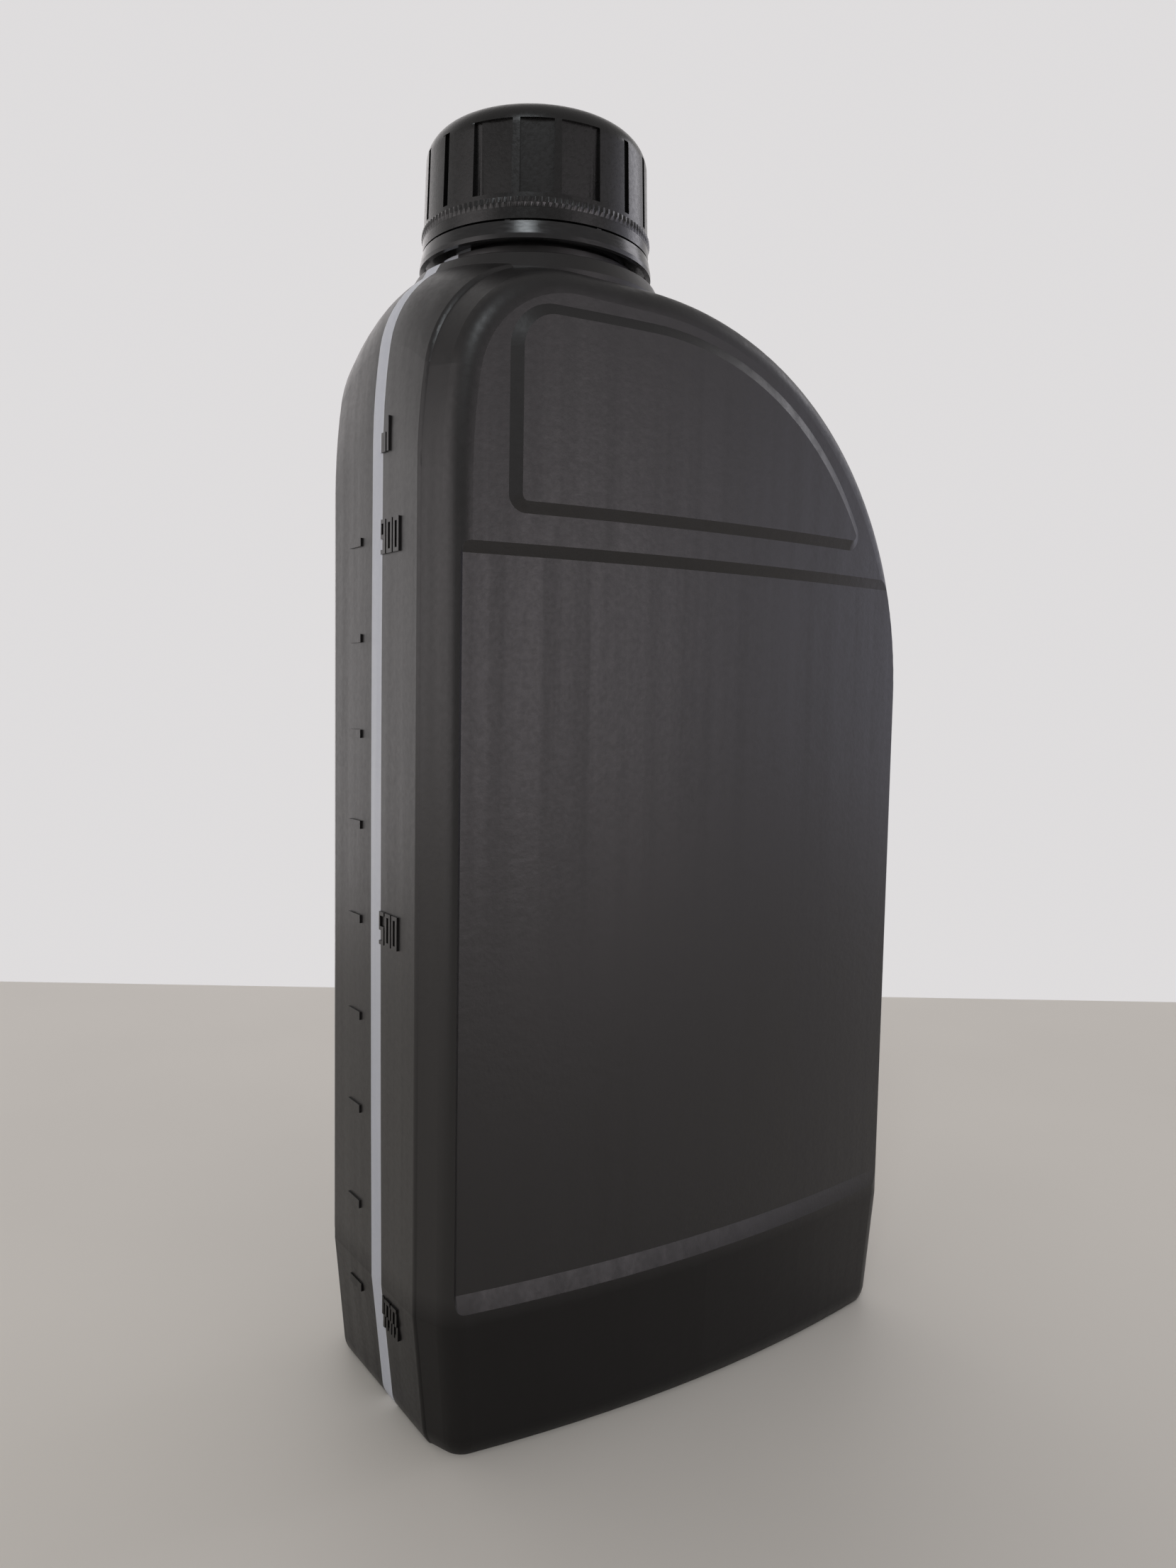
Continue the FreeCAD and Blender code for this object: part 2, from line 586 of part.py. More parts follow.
def push_up(name, skin):
    """The hollow under the base, grown by a skin."""
    body = new_body(name)
    corner = "push_up_corner"
    half_x = f"(width / 2 - foot_side_lean - push_up_margin + {skin})"
    bowed = drop("face_radius", "width / 2")
    half_y = f"(depth / 2 - foot_face_lean - {bowed} - push_up_margin + {skin})"
    sections = []
    for z, inset in (("0", "0"), (f"push_up_depth + {skin}", "push_up_slope")):
        x, y = f"({half_x} - {inset})", f"({half_y} - {inset})"
        sections.append((z, [
            (f"{x} - {corner}", f"-{y}"),
            (x, f"-{y} + {corner}", corner, 1),
            (x, f"{y} - {corner}"),
            (f"{x} - {corner}", y, corner, 1),
            (f"-{x} + {corner}", y),
            (f"-{x}", f"{y} - {corner}", corner, 1),
            (f"-{x}", f"-{y} + {corner}"),
            (f"-{x} + {corner}", f"-{y}", corner, 1),
        ]))
    loft(body, "Additive", f"{name}_frustum", stacked(body, f"{name}_edge", "XY_Plane", sections))
    return body


def box(label, corner, lengths):
    """A block from its lowest corner, all sizes as expressions."""
    block = doc.addObject("Part::Box", label)
    for axis, start, side, length in zip("xyz", corner, ("Length", "Width", "Height"), lengths):
        block.setExpression(f"Placement.Base.{axis}", bound(start))
        block.setExpression(side, bound(length))
    return block


def cylinder(label, radius, foot, height):
    """An upright cylinder on the neck axis, all sizes as expressions."""
    drum = doc.addObject("Part::Cylinder", label)
    drum.setExpression("Radius", bound(radius))
    drum.setExpression("Height", bound(height))
    drum.setExpression("Placement.Base.x", bound(NECK_X))
    drum.setExpression("Placement.Base.z", bound(foot))
    return drum


# A numeral is made of bars in a cell: the place of each bar across and up the cell, then how much
# of the cell it spans across and up. A span of 0 is the bare width of a stroke.
UPPER_LEFT = (0, 0.5, 0, 0.5)
LOWER_LEFT = (0, 0, 0, 0.5)
UPPER_RIGHT = (1, 0.5, 0, 0.5)
LOWER_RIGHT = (1, 0, 0, 0.5)
TOP = (0, 1, 1, 0)
MIDDLE = (0, 0.5, 1, 0)
FOOT = (0, 0, 1, 0)
SIGNS = {
    "0": (UPPER_LEFT, LOWER_LEFT, UPPER_RIGHT, LOWER_RIGHT, TOP, FOOT),
    "1": (UPPER_RIGHT, LOWER_RIGHT),
    "5": (UPPER_LEFT, LOWER_RIGHT, TOP, MIDDLE, FOOT),
    "9": (UPPER_LEFT, UPPER_RIGHT, LOWER_RIGHT, TOP, MIDDLE, FOOT),
    "l": (LOWER_LEFT, UPPER_LEFT),
    "m": (LOWER_LEFT, (0.5, 0, 0, 0.5), LOWER_RIGHT, MIDDLE),
}


def side_inset(height):
    """How far the narrow side lies inside the full width at a height, near the parting plane."""
    level = value(height)
    start = bow_start(CROWN, "crown_heel_radius")
    centre_x, centre_z = shoulder(CROWN, "crown_heel_radius")
    if level < value("foot_height"):
        return f"(foot_side_lean * (1 - ({height}) / foot_height))"
    if level < value(start):
        return "0"
    if level < value(f"{start} + bow_radius * sin(bow_angle)"):
        return drop("bow_radius", f"{height} - {start}")
    return f"({centre_x} - {LEFT} - sqrt(crown_heel_radius ^ 2 - ({height} - {centre_z}) ^ 2))"


def mark(label, y, foot, length, height):
    """One raised stroke on the narrow side, from y toward -Y, rooted in the wall."""
    skin_x = f"({LEFT} + {side_inset(f'({foot} + {height} / 2)')})"
    return box(label, (f"{skin_x} - mark_proud", f"{y} - {length}", foot),
               ("mark_proud + wall - mark_cover", length, height))


def sign_strokes(label, text, middle):
    """The raised strokes of a word, its middle at a height given as an expression."""
    strokes = []
    for place, sign in enumerate(text):
        for number, (across, up, wide, tall) in enumerate(SIGNS[sign]):
            cell = f"text_offset + {place} * (digit_width + digit_gap)"
            y = f"(0 - ({cell}) - {across} * (digit_width - digit_stroke))"
            foot = f"({middle} - digit_height / 2 + {up} * (digit_height - digit_stroke))"
            length = f"(digit_stroke + {wide} * (digit_width - digit_stroke))"
            height = f"(digit_stroke + {tall} * (digit_height - digit_stroke))"
            strokes.append(mark(f"{label}_{place}_{number}", y, foot, length, height))
    return strokes


def graduations():
    """Lines for each hundred millilitres, numerals beside three of them, and the unit sign."""
    marks = sign_strokes("unit", "ml", "(line_900 + unit_gap)")
    for volume in GRADUATIONS:
        foot = f"(line_{volume} - tick_height / 2)"
        start = "(tick_offset + tick_length)"
        marks.append(mark(f"tick_{volume}", start, foot, "tick_length", "tick_height"))
        if volume in NUMBERED:
            marks += sign_strokes(f"numeral_{volume}", str(volume), f"line_{volume}")
    return marks


def stripe_slab():
    """The space that the stripe takes up in the wall: it drifts slightly sideways on its way up."""
    body = new_body("stripe_slab")
    near = "(stripe_offset - stripe_width / 2)"
    far = "(stripe_offset + stripe_width / 2)"
    pad = body.newObject("PartDesign::Pad", "stripe_slab_pad")
    pad.Profile = sketch(body, "stripe_slab_outline", "YZ_Plane", f"{LEFT} - margin", [
        (f"-{far}", "-margin", "stripe_drift_radius", -1),
        (f"-{near}", "-margin"),
        (f"-{near}", CAP_TOP, "stripe_drift_radius", 1),
        (f"-{far}", CAP_TOP),
    ])
    pad.setExpression("Length", bound("margin + neck_offset - neck_bore + stripe_overlap"))
    return body


def bottle_wall():
    """The blown body with its neck and marks, before the stripe is parted off."""
    badge = badge_pad("badge_pad")
    badge_back = doc.addObject("Part::Mirroring", "badge_pad_back")
    badge_back.Source = badge
    badge_back.Normal = (0, 1, 0)
    solid = combined("Fuse", "outer_form", [
        shell_form("shell_form", "0"), rim_band("rim_band", "0"), badge, badge_back, neck(),
    ])
    under = combined("Fuse", "under_base", [
        box("trimmed_base", ("-width", "-depth", "-margin"), ("2 * width", "2 * depth", "margin")),
        push_up("push_up", "0"),
    ])
    footed = combined("Cut", "footed_form", [solid, under])
    inside = [shell_form("hollow_form", "wall"), rim_band("hollow_band", "wall")]
    chamber = combined("Fuse", "chamber", inside)
    floor = combined("Fuse", "floor_form", [
        box("floor_plate", ("-width", "-depth", "-wall"), ("2 * width", "2 * depth", "2 * wall")),
        push_up("floor_push_up", "wall"),
    ])
    root = "(shoulder_height - neck_sink)"
    bore = cylinder("pouring_bore", "neck_bore", root, f"{LIP} + margin - {root}")
    hollow = combined("Fuse", "hollow", [combined("Cut", "floored_chamber", [chamber, floor]), bore])
    plain = combined("Cut", "plain_wall", [footed, hollow])
    return combined("Fuse", "blown_wall", [plain, *graduations()])


def repeated(body, name, feature, count, turn="360"):
    """Copies of a feature around the body's axis, the last one at `turn` where that is not a full turn."""
    pattern = body.newObject("PartDesign::PolarPattern", name)
    pattern.Originals = [feature]
    pattern.Axis = (origin_axis(body, "Z_Axis"), [""])
    pattern.setExpression("Angle", bound(turn))
    pattern.setExpression("Occurrences", bound(count))
    body.Tip = pattern


def tamper_band():
    """The ring that stays on the neck when the cap is first unscrewed, with its broken bridges."""
    top = f"({TAMPER_FOOT} + tamper_height)"
    lip_foot = f"({TAMPER_FOOT} + tamper_lip_rise)"
    lip_top = f"({lip_foot} + tamper_lip)"
    lip_edge = f"({NECK_CORE} + lip_play)"
    outside = f"({CAP_RADIUS} + tamper_proud)"
    inside = f"({outside} - tamper_wall)"
    foot = f"({outside} + tamper_flare)"
    body = revolved("tamper_band", NECK_X, [
        (f"{foot} - tamper_wall", TAMPER_FOOT),
        (foot, TAMPER_FOOT),
        (foot, f"{TAMPER_FOOT} + tamper_edge"),
        (outside, top),
        (inside, top),
        (inside, lip_top),
        (lip_edge, lip_top),
        (lip_edge, lip_foot),
        (f"{foot} - tamper_wall", lip_foot),
    ])
    pad = body.newObject("PartDesign::Pad", "bridge")
    near = f"({inside} + bridge_setback)"
    pad.Profile = sketch(body, "bridge_outline", "XY_Plane", top, [
        (near, "-bridge_width / 2"),
        (CAP_RADIUS, "-bridge_width / 2"),
        (CAP_RADIUS, "bridge_width / 2"),
        (near, "bridge_width / 2"),
    ])
    pad.setExpression("Length", bound("bridge_height"))
    repeated(body, "bridges", pad, "bridge_count")
    return body


def turned(reach, across, direction):
    """The point at a distance along a direction from the axis, and at a distance across it."""
    return (f"({reach} * cos({direction}) - {across} * sin({direction}))",
            f"({reach} * sin({direction}) + {across} * cos({direction}))")


def cap_slot(body, name, direction, depth, width):
    """A slot down the skirt of the cap, from its shoulder to the ledge over the knurled ring."""
    top = f"({CAP_TOP} - groove_top_drop)"
    foot = f"({SKIRT_FOOT} + knurl_height + groove_ledge)"
    inside, outside = f"({CAP_RADIUS} - {depth})", f"({CAP_RADIUS} + margin)"
    left, right = f"(-{width} / 2)", f"({width} / 2)"
    slot = body.newObject("PartDesign::Pocket", name)
    slot.Profile = sketch(body, f"{name}_outline", "XY_Plane", top, [
        turned(inside, left, direction),
        turned(outside, left, direction),
        turned(outside, right, direction),
        turned(inside, right, direction),
    ])
    slot.setExpression("Length", bound(f"{top} - {foot}"))
    return slot


def cap():
    """The screw cap: domed top, grip grooves, three plain panels side by side, thread inside."""
    dome_foot = f"({CAP_TOP} - cap_dome - cap_edge_radius)"
    shoulder_radius = f"({CAP_RADIUS} - cap_draft)"
    crown_edge = f"({shoulder_radius} - cap_edge_radius)"
    knurl_top = f"({SKIRT_FOOT} + knurl_height)"
    body = revolved("cap", NECK_X, [
        (CAP_BORE, SKIRT_FOOT),
        (f"{CAP_RADIUS} + knurl_proud", SKIRT_FOOT),
        (f"{CAP_RADIUS} + knurl_proud", knurl_top),
        (CAP_RADIUS, knurl_top),
        (shoulder_radius, dome_foot),
        (crown_edge, f"{CAP_TOP} - cap_dome", "cap_edge_radius", 1),
        ("0", CAP_TOP, f"({crown_edge} ^ 2 + cap_dome ^ 2) / (2 * cap_dome)", 1),
        ("0", CAP_ROOF),
        (CAP_BORE, CAP_ROOF),
    ])
    step = "(360 / groove_count)"
    panel_width = f"(2 * {CAP_RADIUS} * sin({step} / 2) - panel_rib)"
    groove = cap_slot(body, "groove", f"(panel_turn + 1.5 * {step})", "groove_depth", "groove_width")
    repeated(body, "grooves", groove, "groove_count - 2", f"360 - 3 * {step}")
    panel = cap_slot(body, "panel", f"(panel_turn - {step})", "panel_depth", panel_width)
    repeated(body, "panels", panel, "3", f"2 * {step}")
    thread(body, "cap_thread", f"({CAP_BORE} + thread_embed)", f"({CAP_BORE} - thread_height)",
           f"({THREAD_START} + thread_pitch / 2)", f"({WAD_FOOT} - thread_wad_gap)")
    return body


def cap_liner():
    """The disc in the roof of the cap that seals the lip of the neck."""
    wad = cylinder("cap_liner", f"{CAP_BORE} - wad_clearance", WAD_FOOT, "wad_thickness")
    wad.Label = "cap_liner"
    return wad


def check(nodes):
    """Stop if any object of the document failed, or if a sub-part has no valid shape."""
    failed = [item.Name for item in doc.Objects if {"Invalid", "Error"} & set(item.State)]
    failed += [node.Label for node in nodes if node.Shape.isNull() or not node.Shape.isValid()]
    if failed:
        raise RuntimeError(f"not built: {failed}")


wall = bottle_wall()
slab = stripe_slab()
nodes = [
    combined("Cut", "bottle", [wall, slab]),
    combined("Common", "view_stripe", [wall, slab]),
    cap(),
    cap_liner(),
    tamper_band(),
]
doc.recompute()
check(nodes)
os.makedirs("parts", exist_ok=True)
for node in nodes:
    node.Shape.exportStep(f"parts/{node.Label}.step")
    print(f"{node.Label}: {len(node.Shape.Solids)} solid, {node.Shape.Volume / 1000:.2f} cubic centimetres")
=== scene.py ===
"""Looks of the motor oil bottle: plastics, cap knurl, plain studio and camera."""

import math

import bpy
from mathutils import Matrix, Vector

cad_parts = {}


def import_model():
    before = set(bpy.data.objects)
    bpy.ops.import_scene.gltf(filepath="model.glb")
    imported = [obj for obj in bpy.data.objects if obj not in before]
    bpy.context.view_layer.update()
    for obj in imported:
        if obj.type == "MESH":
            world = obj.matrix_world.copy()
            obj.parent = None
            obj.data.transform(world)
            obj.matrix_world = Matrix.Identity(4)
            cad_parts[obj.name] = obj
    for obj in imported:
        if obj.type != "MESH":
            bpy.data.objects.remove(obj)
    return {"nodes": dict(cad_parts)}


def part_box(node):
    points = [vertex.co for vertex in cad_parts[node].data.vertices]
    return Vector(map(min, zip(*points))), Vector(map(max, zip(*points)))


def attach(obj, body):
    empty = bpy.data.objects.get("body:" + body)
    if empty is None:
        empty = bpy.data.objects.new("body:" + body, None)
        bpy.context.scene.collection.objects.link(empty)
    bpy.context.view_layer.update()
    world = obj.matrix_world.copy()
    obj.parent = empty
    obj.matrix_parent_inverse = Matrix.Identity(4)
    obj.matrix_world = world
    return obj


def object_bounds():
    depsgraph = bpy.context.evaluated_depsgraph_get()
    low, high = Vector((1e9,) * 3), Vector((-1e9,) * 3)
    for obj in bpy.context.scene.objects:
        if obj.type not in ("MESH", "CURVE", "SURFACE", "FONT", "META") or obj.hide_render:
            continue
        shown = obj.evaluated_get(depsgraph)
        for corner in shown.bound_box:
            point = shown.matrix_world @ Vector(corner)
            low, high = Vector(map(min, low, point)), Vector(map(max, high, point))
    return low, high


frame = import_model()
cad_low, cad_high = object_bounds()

MM = 0.001
nodes = frame["nodes"]


# Where the rougher finish of the front and back fades in, over the height and across the depth.
bottle_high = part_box("bottle")[1]
ROUGH_FROM = (24 * MM, 29 * MM)
ROUGH_FACE = (bottle_high.y - 7 * MM, bottle_high.y - 5 * MM)
FACE_ROUGHNESS = 0.06
FOOT_SPECULAR = 0.26
BODY_SPECULAR = 0.5

POLYETHYLENE_IOR = 1.54
POLYPROPYLENE_IOR = 1.5

# The darkest and palest shade of each material.
BODY_SHADES = ((0.0045, 0.0040, 0.0040, 1), (0.0058, 0.0051, 0.0053, 1))
CAP_SHADES = ((0.0030, 0.0029, 0.0029, 1), (0.0048, 0.0046, 0.0046, 1))
BAND_SHADES = ((0.010, 0.010, 0.0105, 1), (0.013, 0.013, 0.0135, 1))
STRIPE_SHADES = ((0.44, 0.465, 0.52, 1), (0.53, 0.555, 0.60, 1))
FOAM_SHADES = ((0.66, 0.65, 0.61, 1), (0.72, 0.715, 0.68, 1))
FLOOR_SHADE = (0.76, 0.725, 0.665)
WALL_SHADE = (0.735, 0.72, 0.725, 1)


# ---------------------------------------------------------------- materials

class Shader:
    """A material with one Principled shader and the nodes that feed it."""

    def __init__(self, name):
        self.material = bpy.data.materials.new(name)
        self.material.use_nodes = True
        self.tree = self.material.node_tree
        self.surface = self.tree.nodes["Principled BSDF"]
        self.place = self.tree.nodes.new("ShaderNodeTexCoord").outputs["Object"]

    def node(self, kind, inputs=None, **settings):
        """A node with its settings and inputs; an input that is a socket is linked."""
        made = self.tree.nodes.new(f"ShaderNode{kind}")
        for key, setting in settings.items():
            setattr(made, key, setting)
        for key, content in (inputs or {}).items():
            self.feed(made.inputs[key], content)
        return made

    def feed(self, socket, content):
        if isinstance(content, bpy.types.NodeSocket):
            self.tree.links.new(content, socket)
        else:
            socket.default_value = content

    def set(self, **inputs):
        """Inputs of the Principled shader, with _ for a space in their names."""
        for key, content in inputs.items():
            self.feed(self.surface.inputs[key.replace("_", " ")], content)

    def noise(self, scale, detail=2.0, roughness=0.5, stretch=(1, 1, 1)):
        """Noise in the part's own frame; `scale` is in features per metre."""
        mapped = self.node("Mapping", {"Vector": self.place, "Scale": stretch})
        made = self.node("TexNoise", {
            "Vector": mapped.outputs["Vector"], "Scale": scale, "Detail": detail,
            "Roughness": roughness,
        })
        return made.outputs["Fac"]

    def spread(self, source, low, high, start=0.35, end=0.65):
        """Maps the middle of a noise's range onto low to high."""
        return self.node("MapRange", {
            "Value": source, "From Min": start, "From Max": end, "To Min": low, "To Max": high,
        }).outputs["Result"]

    def blend(self, share, first, second):
        mixed = self.node("Mix", {0: share, 6: first, 7: second}, data_type="RGBA")
        return mixed.outputs[2]

    def math(self, operation, first, second):
        return self.node("Math", {0: first, 1: second}, operation=operation).outputs[0]

    def relief(self, *layers):
        """Bumps on top of each other, from pairs of height and depth in metres."""
        normal = None
        for height, depth in layers:
            inputs = {"Height": height, "Strength": 1.0, "Distance": depth}
            if normal is not None:
                inputs["Normal"] = normal
            normal = self.node("Bump", inputs).outputs["Normal"]
        self.set(Normal=normal)


def body_plastic():
    """Black polyethylene off the mould: satin, with a fine grain and faint flow lines.

    Above the foot, the front and back are rougher than the narrow sides. The foot shines less.
    """
    shader = Shader("body_hdpe")
    cloud = shader.noise(22, detail=3)
    streaks = shader.noise(330, detail=3, stretch=(1, 1, 0.018))
    grain = shader.noise(1050, detail=2, roughness=0.6)
    pebble = shader.noise(420, detail=1)
    patch = shader.spread(shader.noise(14), 0.25, 1.0)
    parts = shader.node("SeparateXYZ", {0: shader.place})
    outward = shader.math("ABSOLUTE", parts.outputs["Y"], 0.0)
    rough_zone = shader.math(
        "MULTIPLY", shader.spread(parts.outputs["Z"], 0, 1, *ROUGH_FROM),
        shader.spread(outward, 0, 1, *ROUGH_FACE))
    shader.set(
        Base_Color=shader.blend(shader.spread(cloud, 0, 1), *BODY_SHADES),
        Roughness=shader.math(
            "ADD", shader.math("MULTIPLY", rough_zone, FACE_ROUGHNESS),
            shader.math(
                "ADD", shader.spread(streaks, 0.33, 0.40), shader.spread(grain, -0.02, 0.03))),
        Specular_IOR_Level=shader.spread(
            parts.outputs["Z"], FOOT_SPECULAR, BODY_SPECULAR, *ROUGH_FROM),
        IOR=POLYETHYLENE_IOR,
    )
    leather = shader.math(
        "MULTIPLY", shader.math("MULTIPLY", patch, shader.spread(rough_zone, 0.35, 1.0, 0, 1)),
        shader.math("ADD", grain, shader.math("MULTIPLY", pebble, 1.2)))
    shader.relief((leather, 0.05 * MM), (streaks, 0.012 * MM))
    return shader.material


def cap_plastic():
    """Black polypropylene, a little harder and finer than the body."""
    shader = Shader("cap_pp")
    grain = shader.noise(1500, detail=3, roughness=0.6)
    cloud = shader.noise(60, detail=2)
    shader.set(
        Base_Color=shader.blend(shader.spread(cloud, 0, 1), *CAP_SHADES),
        Roughness=shader.math(
            "ADD", shader.spread(cloud, 0.23, 0.30), shader.spread(grain, -0.04, 0.05)),
        IOR=POLYPROPYLENE_IOR,
    )
    shader.relief((grain, 0.02 * MM))
    return shader.material


def band_plastic():
    """The same kind of plastic as the cap, a little paler and smoother."""
    shader = Shader("band_pp")
    scuff = shader.noise(500, detail=3, stretch=(1, 1, 5))
    shader.set(
        Base_Color=shader.blend(shader.spread(scuff, 0, 1), *BAND_SHADES),
        Roughness=shader.spread(scuff, 0.17, 0.27),
        IOR=POLYPROPYLENE_IOR,
    )
    shader.relief((scuff, 0.012 * MM))
    return shader.material


def stripe_plastic():
    """Natural polyethylene without pigment: milky, bluish, and a little translucent."""
    shader = Shader("stripe_hdpe")
    flow = shader.noise(150, detail=3, stretch=(1, 1, 0.05))
    grain = shader.noise(1100, detail=2)
    shader.set(
        Base_Color=shader.blend(shader.spread(flow, 0, 1), *STRIPE_SHADES),
        Roughness=shader.spread(grain, 0.36, 0.46),
        IOR=POLYETHYLENE_IOR,
        Subsurface_Weight=0.35,
        Subsurface_Radius=(1.0, 1.0, 1.1),
        Subsurface_Scale=0.9 * MM,
    )
    shader.relief((grain, 0.02 * MM))
    return shader.material


def liner_foam():
    """Pressed polyethylene foam with small closed cells."""
    shader = Shader("liner_foam")
    cells = shader.node("TexVoronoi", {"Vector": shader.place, "Scale": 1800.0}).outputs["Distance"]
    cloud = shader.noise(120)
    shader.set(
        Base_Color=shader.blend(shader.spread(cloud, 0, 1), *FOAM_SHADES),
        Roughness=shader.spread(cells, 0.6, 0.75),
    )
    shader.relief((cells, 0.04 * MM))
    return shader.material


def dress(piece, material):
    """Gives a CAD node its material through the slots of its object."""
    if not piece.material_slots:
        piece.data.materials.append(material)
    for slot in piece.material_slots:
        slot.link = "OBJECT"
        slot.material = material


black_body, black_cap = body_plastic(), cap_plastic()
dress(nodes["bottle"], black_body)
dress(nodes["view_stripe"], stripe_plastic())
dress(nodes["cap"], black_cap)
dress(nodes["tamper_band"], band_plastic())
dress(nodes["cap_liner"], liner_foam())


# ------------------------------------------------------------------- pieces

def piece(name, mesh, material, body, slot):
    """A mesh in the part's frame as a piece that rides on a body."""
    made = bpy.data.objects.new(name, mesh)
    bpy.context.collection.objects.link(made)
    mesh.materials.append(material)
    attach(made, body)
    return made


def grid_mesh(name, rows, smooth):
    """Quads between rows of points; each row, and the run of rows, closes on itself."""
    mesh = bpy.data.meshes.new(name)
    count = len(rows[0])
    faces = []
    for row in range(len(rows)):
        after = (row + 1) % len(rows)
        for point in range(count):
            beside = (point + 1) % count
            faces.append((row * count + point, row * count + beside,
                          after * count + beside, after * count + point))
    mesh.from_pydata([point for row in rows for point in row], [], faces)
    for face in mesh.polygons:
        face.use_smooth = smooth
    mesh.update()
    return mesh


# The knurl: small teeth that stand on the ring at the foot of the cap, with flanks that taper out.
KNURL_TEETH = 120
KNURL_FOOT = 1.9 * MM
KNURL_TOP = 3.55 * MM
KNURL_ROOT = 0.35 * MM
KNURL_PROUD = 0.22 * MM
KNURL_SKIN = 0.02 * MM       # thinnest cover over the ring, between two teeth
KNURL_CREST_AT = 0.45        # height of the crest between foot and top
KNURL_TOP_PROUD = 0.55       # how proud a tooth still is at its top
KNURL_PROFILE = ((0.0, 0.0), (0.32, 0.75), (0.5, 1.0), (0.68, 0.75))

cap_low, cap_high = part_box("cap")
cap_axis = (cap_low + cap_high) / 2
cap_radius = (cap_high.x - cap_low.x) / 2


def knurl():
    """A closed ring of teeth, from sections all round the axis of the cap."""
    sections = []
    crest_lift = KNURL_FOOT + (KNURL_TOP - KNURL_FOOT) * KNURL_CREST_AT
    for tooth in range(KNURL_TEETH):
        for part, crest in KNURL_PROFILE:
            angle = 2 * math.pi * (tooth + part) / KNURL_TEETH
            out = Vector((math.cos(angle), math.sin(angle), 0))
            section = [
                (-KNURL_ROOT, KNURL_FOOT),
                (KNURL_SKIN, KNURL_FOOT),
                (KNURL_PROUD * crest + KNURL_SKIN, crest_lift),
                (KNURL_PROUD * crest * KNURL_TOP_PROUD + KNURL_SKIN, KNURL_TOP),
                (-KNURL_ROOT, KNURL_TOP),
            ]
            sections.append([
                Vector((cap_axis.x, cap_axis.y, cap_low.z + lift)) + out * (cap_radius + reach)
                for reach, lift in section])
    return grid_mesh("knurl", sections, smooth=False)


piece("cap_knurl", knurl(), black_cap, "cap", "cap_plastic")


# -------------------------------------------------------------- studio

def plain_material(name, colour):
    """A pale stage surface with a very slight mottle."""
    shader = Shader(name)
    mottle = shader.spread(shader.noise(9, detail=2), 0.985, 1.015)
    shade = shader.node("VectorMath", {0: colour, "Scale": mottle}, operation="SCALE")
    shader.set(Base_Color=shade.outputs[0], Roughness=0.55)
    return shader.material


CAMERA_YAW, CAMERA_PITCH, CAMERA_ROLL = (math.radians(angle) for angle in (-34.27, -4.44, 1.01))
CAMERA_PLACE = Vector((-141.63, -194.63, 132.20)) * MM
LENS, SENSOR = 26.85, 36
CLIP_START, CLIP_END = 0.01, 20

# The floor's reach from the bottle, in metres along and across the view.
FLOOR_BACK = 0.27
FLOOR_FRONT = 0.55
FLOOR_SIDE = 1.4

ahead = Vector((-math.sin(CAMERA_YAW), math.cos(CAMERA_YAW), 0))
aside = Vector((math.cos(CAMERA_YAW), math.sin(CAMERA_YAW), 0))


def floor():
    corners = [aside * x + ahead * y for x, y in (
        (-FLOOR_SIDE, -FLOOR_FRONT), (FLOOR_SIDE, -FLOOR_FRONT),
        (FLOOR_SIDE, FLOOR_BACK), (-FLOOR_SIDE, FLOOR_BACK))]
    mesh = bpy.data.meshes.new("floor")
    mesh.from_pydata(corners, [], [(0, 1, 2, 3)])
    mesh.materials.append(plain_material("floor_pale", FLOOR_SHADE))
    made = bpy.data.objects.new("floor", mesh)
    bpy.context.collection.objects.link(made)


floor()


def softbox(name, place, target, side, power, colour):
    """A soft square lamp at `place`, aimed at `target`."""
    lamp = bpy.data.lights.new(name, "AREA")
    lamp.shape, lamp.size, lamp.size_y = "RECTANGLE", side, side
    lamp.energy, lamp.color = power, colour
    made = bpy.data.objects.new(name, lamp)
    bpy.context.collection.objects.link(made)
    made.location = place
    made.rotation_mode = "QUATERNION"
    made.rotation_quaternion = (target - place).to_track_quat("-Z", "Y")


# The lamps: name, place from the middle of the bottle, side in metres, watts, colour.
LAMPS = (
    ("skylight", (-0.82, -0.86, 1.15), 0.40, 3.4, (0.90, 0.96, 1.0)),
    ("upper_right", (1.25, -0.05, 0.78), 0.5, 1.6, (0.97, 0.95, 1.0)),
)

middle = (cad_low + cad_high) / 2
for lamp_name, offset, lamp_side, watts, tint in LAMPS:
    softbox(lamp_name, middle + Vector(offset), middle, lamp_side, watts, tint)


# The light from all round: the base, and what wide soft areas of the room add to it. Each area has
# its direction, the cosines where it starts and is full, and its colour; a negative one darkens.
ROOM = (0.33, 0.32, 0.315, 1)
AREAS = (
    ((0.25, 0.95, -0.20), 0.10, 0.80, (0.60, 0.58, 0.58, 1)),
    ((0.10, 0.99, -0.05), 0.78, 0.97, (0.60, 0.56, 0.57, 1)),
    ((0.28, -0.96, -0.05), 0.92, 0.98, (2.05, 1.88, 1.98, 1)),
    ((0.45, -0.85, -0.28), 0.72, 0.97, (0.48, 0.43, 0.46, 1)),
    ((0.95, -0.25, -0.25), 0.60, 0.98, (0.70, 0.70, 0.88, 1)),
    ((-0.97, 0.10, -0.15), 0.75, 0.96, (1.50, 1.40, 1.42, 1)),
    ((0.0, 0.0, -1.0), 0.05, 0.60, (-0.15, -0.15, -0.15, 1)),
    ((0.0, 0.0, 1.0), 0.05, 0.35, (-0.28, -0.27, -0.27, 1)),
)


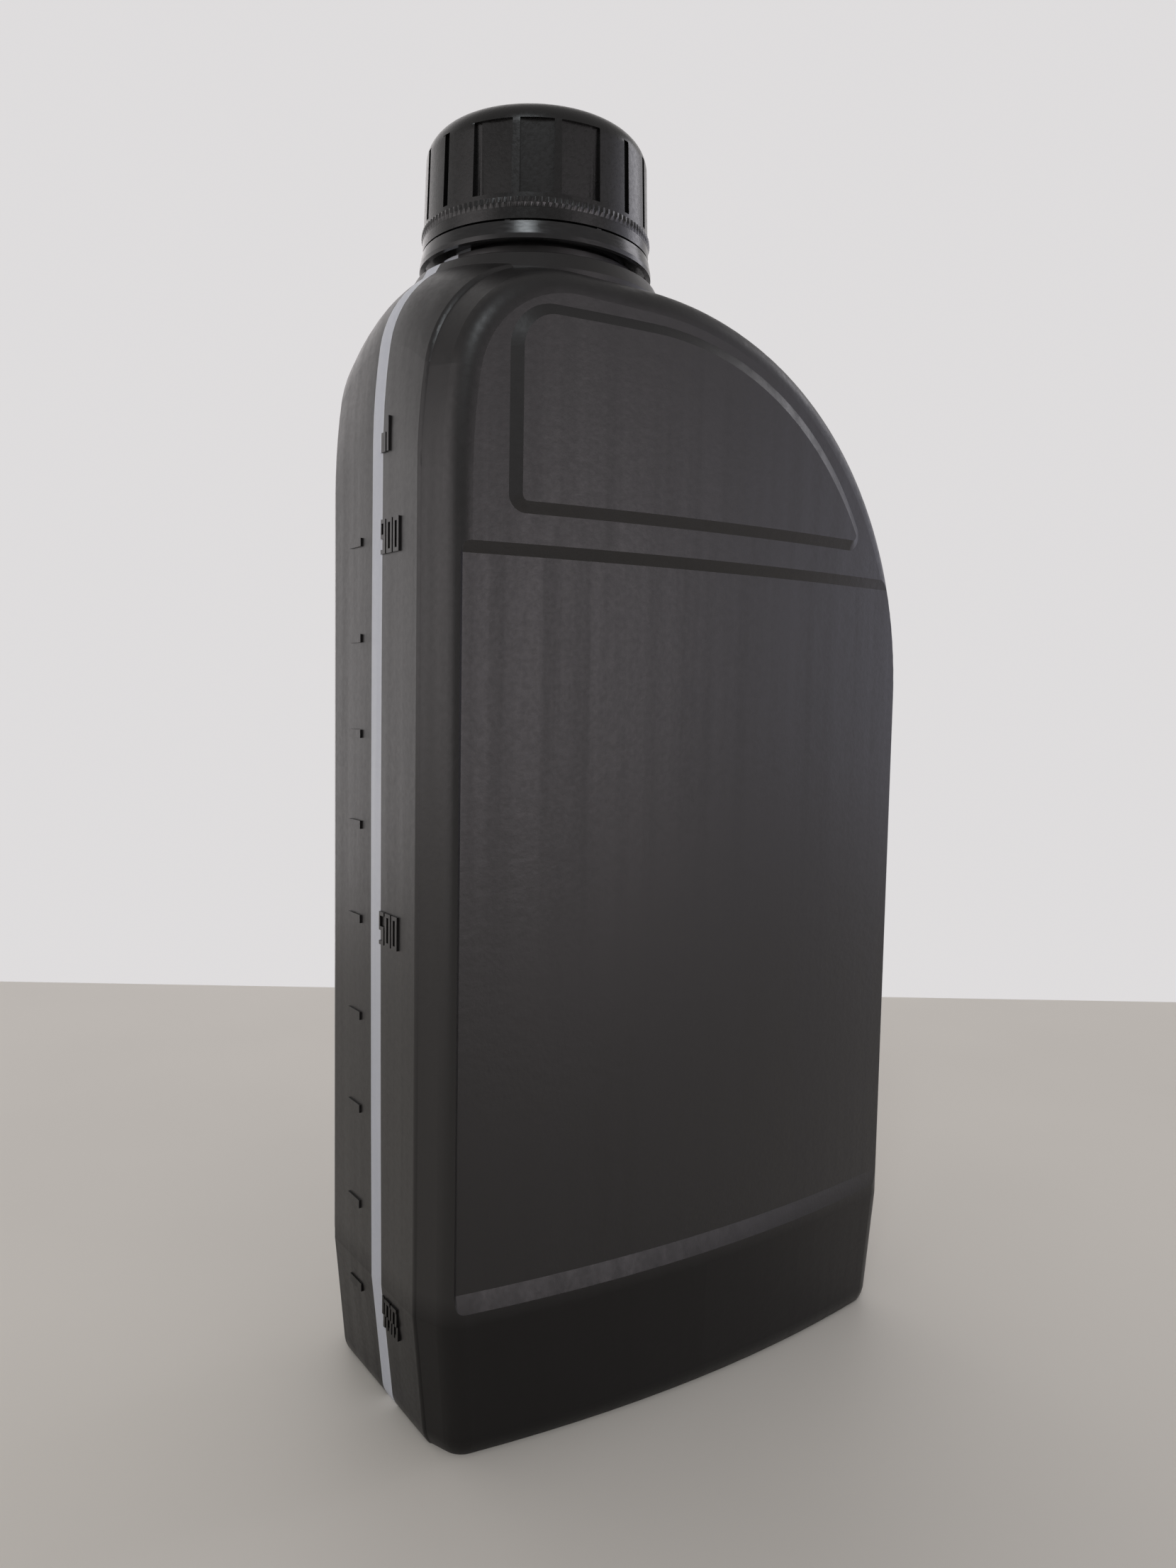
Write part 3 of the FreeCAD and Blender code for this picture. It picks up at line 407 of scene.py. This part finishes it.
def world():
    """Light from all round, and a pale wall where the camera looks past the floor."""
    made = bpy.data.worlds.new("studio")
    bpy.context.scene.world = made
    made.use_nodes = True
    tree = made.node_tree
    tree.nodes.clear()

    def node(kind, **settings):
        made = tree.nodes.new(f"ShaderNode{kind}")
        for key, setting in settings.items():
            setattr(made, key, setting)
        return made

    place = node("TexCoord").outputs["Generated"]
    total = None
    for direction, start, end, colour in AREAS:
        dot = node("VectorMath", operation="DOT_PRODUCT")
        dot.inputs[1].default_value = Vector(direction).normalized()
        fade = node("MapRange", interpolation_type="SMOOTHSTEP")
        fade.inputs["From Min"].default_value = start
        fade.inputs["From Max"].default_value = end
        area = node("Mix", data_type="RGBA", blend_type="ADD")
        area.inputs[6].default_value, area.inputs[7].default_value = ROOM, colour
        tree.links.new(place, dot.inputs[0])
        tree.links.new(dot.outputs["Value"], fade.inputs["Value"])
        tree.links.new(fade.outputs[0], area.inputs[0])
        if total is not None:
            tree.links.new(total, area.inputs[6])
        total = area.outputs[2]
    light, wall = node("Background"), node("Background")
    wall.inputs["Color"].default_value = WALL_SHADE
    path, mixed, output = node("LightPath"), node("MixShader"), node("OutputWorld")
    tree.links.new(total, light.inputs["Color"])
    tree.links.new(path.outputs["Is Camera Ray"], mixed.inputs[0])
    tree.links.new(light.outputs[0], mixed.inputs[1])
    tree.links.new(wall.outputs[0], mixed.inputs[2])
    tree.links.new(mixed.outputs[0], output.inputs["Surface"])


world()


def camera():
    """The camera of the scene, turned by its yaw, pitch and roll."""
    ahead_down = ahead * math.cos(CAMERA_PITCH) + Vector((0, 0, math.sin(CAMERA_PITCH)))
    up = aside.cross(ahead_down)
    right = aside * math.cos(CAMERA_ROLL) + up * math.sin(CAMERA_ROLL)
    up = up * math.cos(CAMERA_ROLL) - aside * math.sin(CAMERA_ROLL)
    lens = bpy.data.cameras.new("camera")
    lens.lens, lens.sensor_width, lens.sensor_fit = LENS, SENSOR, "AUTO"
    lens.clip_start, lens.clip_end = CLIP_START, CLIP_END
    made = bpy.data.objects.new("camera", lens)
    bpy.context.collection.objects.link(made)
    turn = Matrix((right, up, -ahead_down)).transposed().to_4x4()
    made.matrix_world = Matrix.Translation(CAMERA_PLACE) @ turn
    bpy.context.scene.camera = made


camera()

bpy.context.scene.view_settings.view_transform = "Standard"
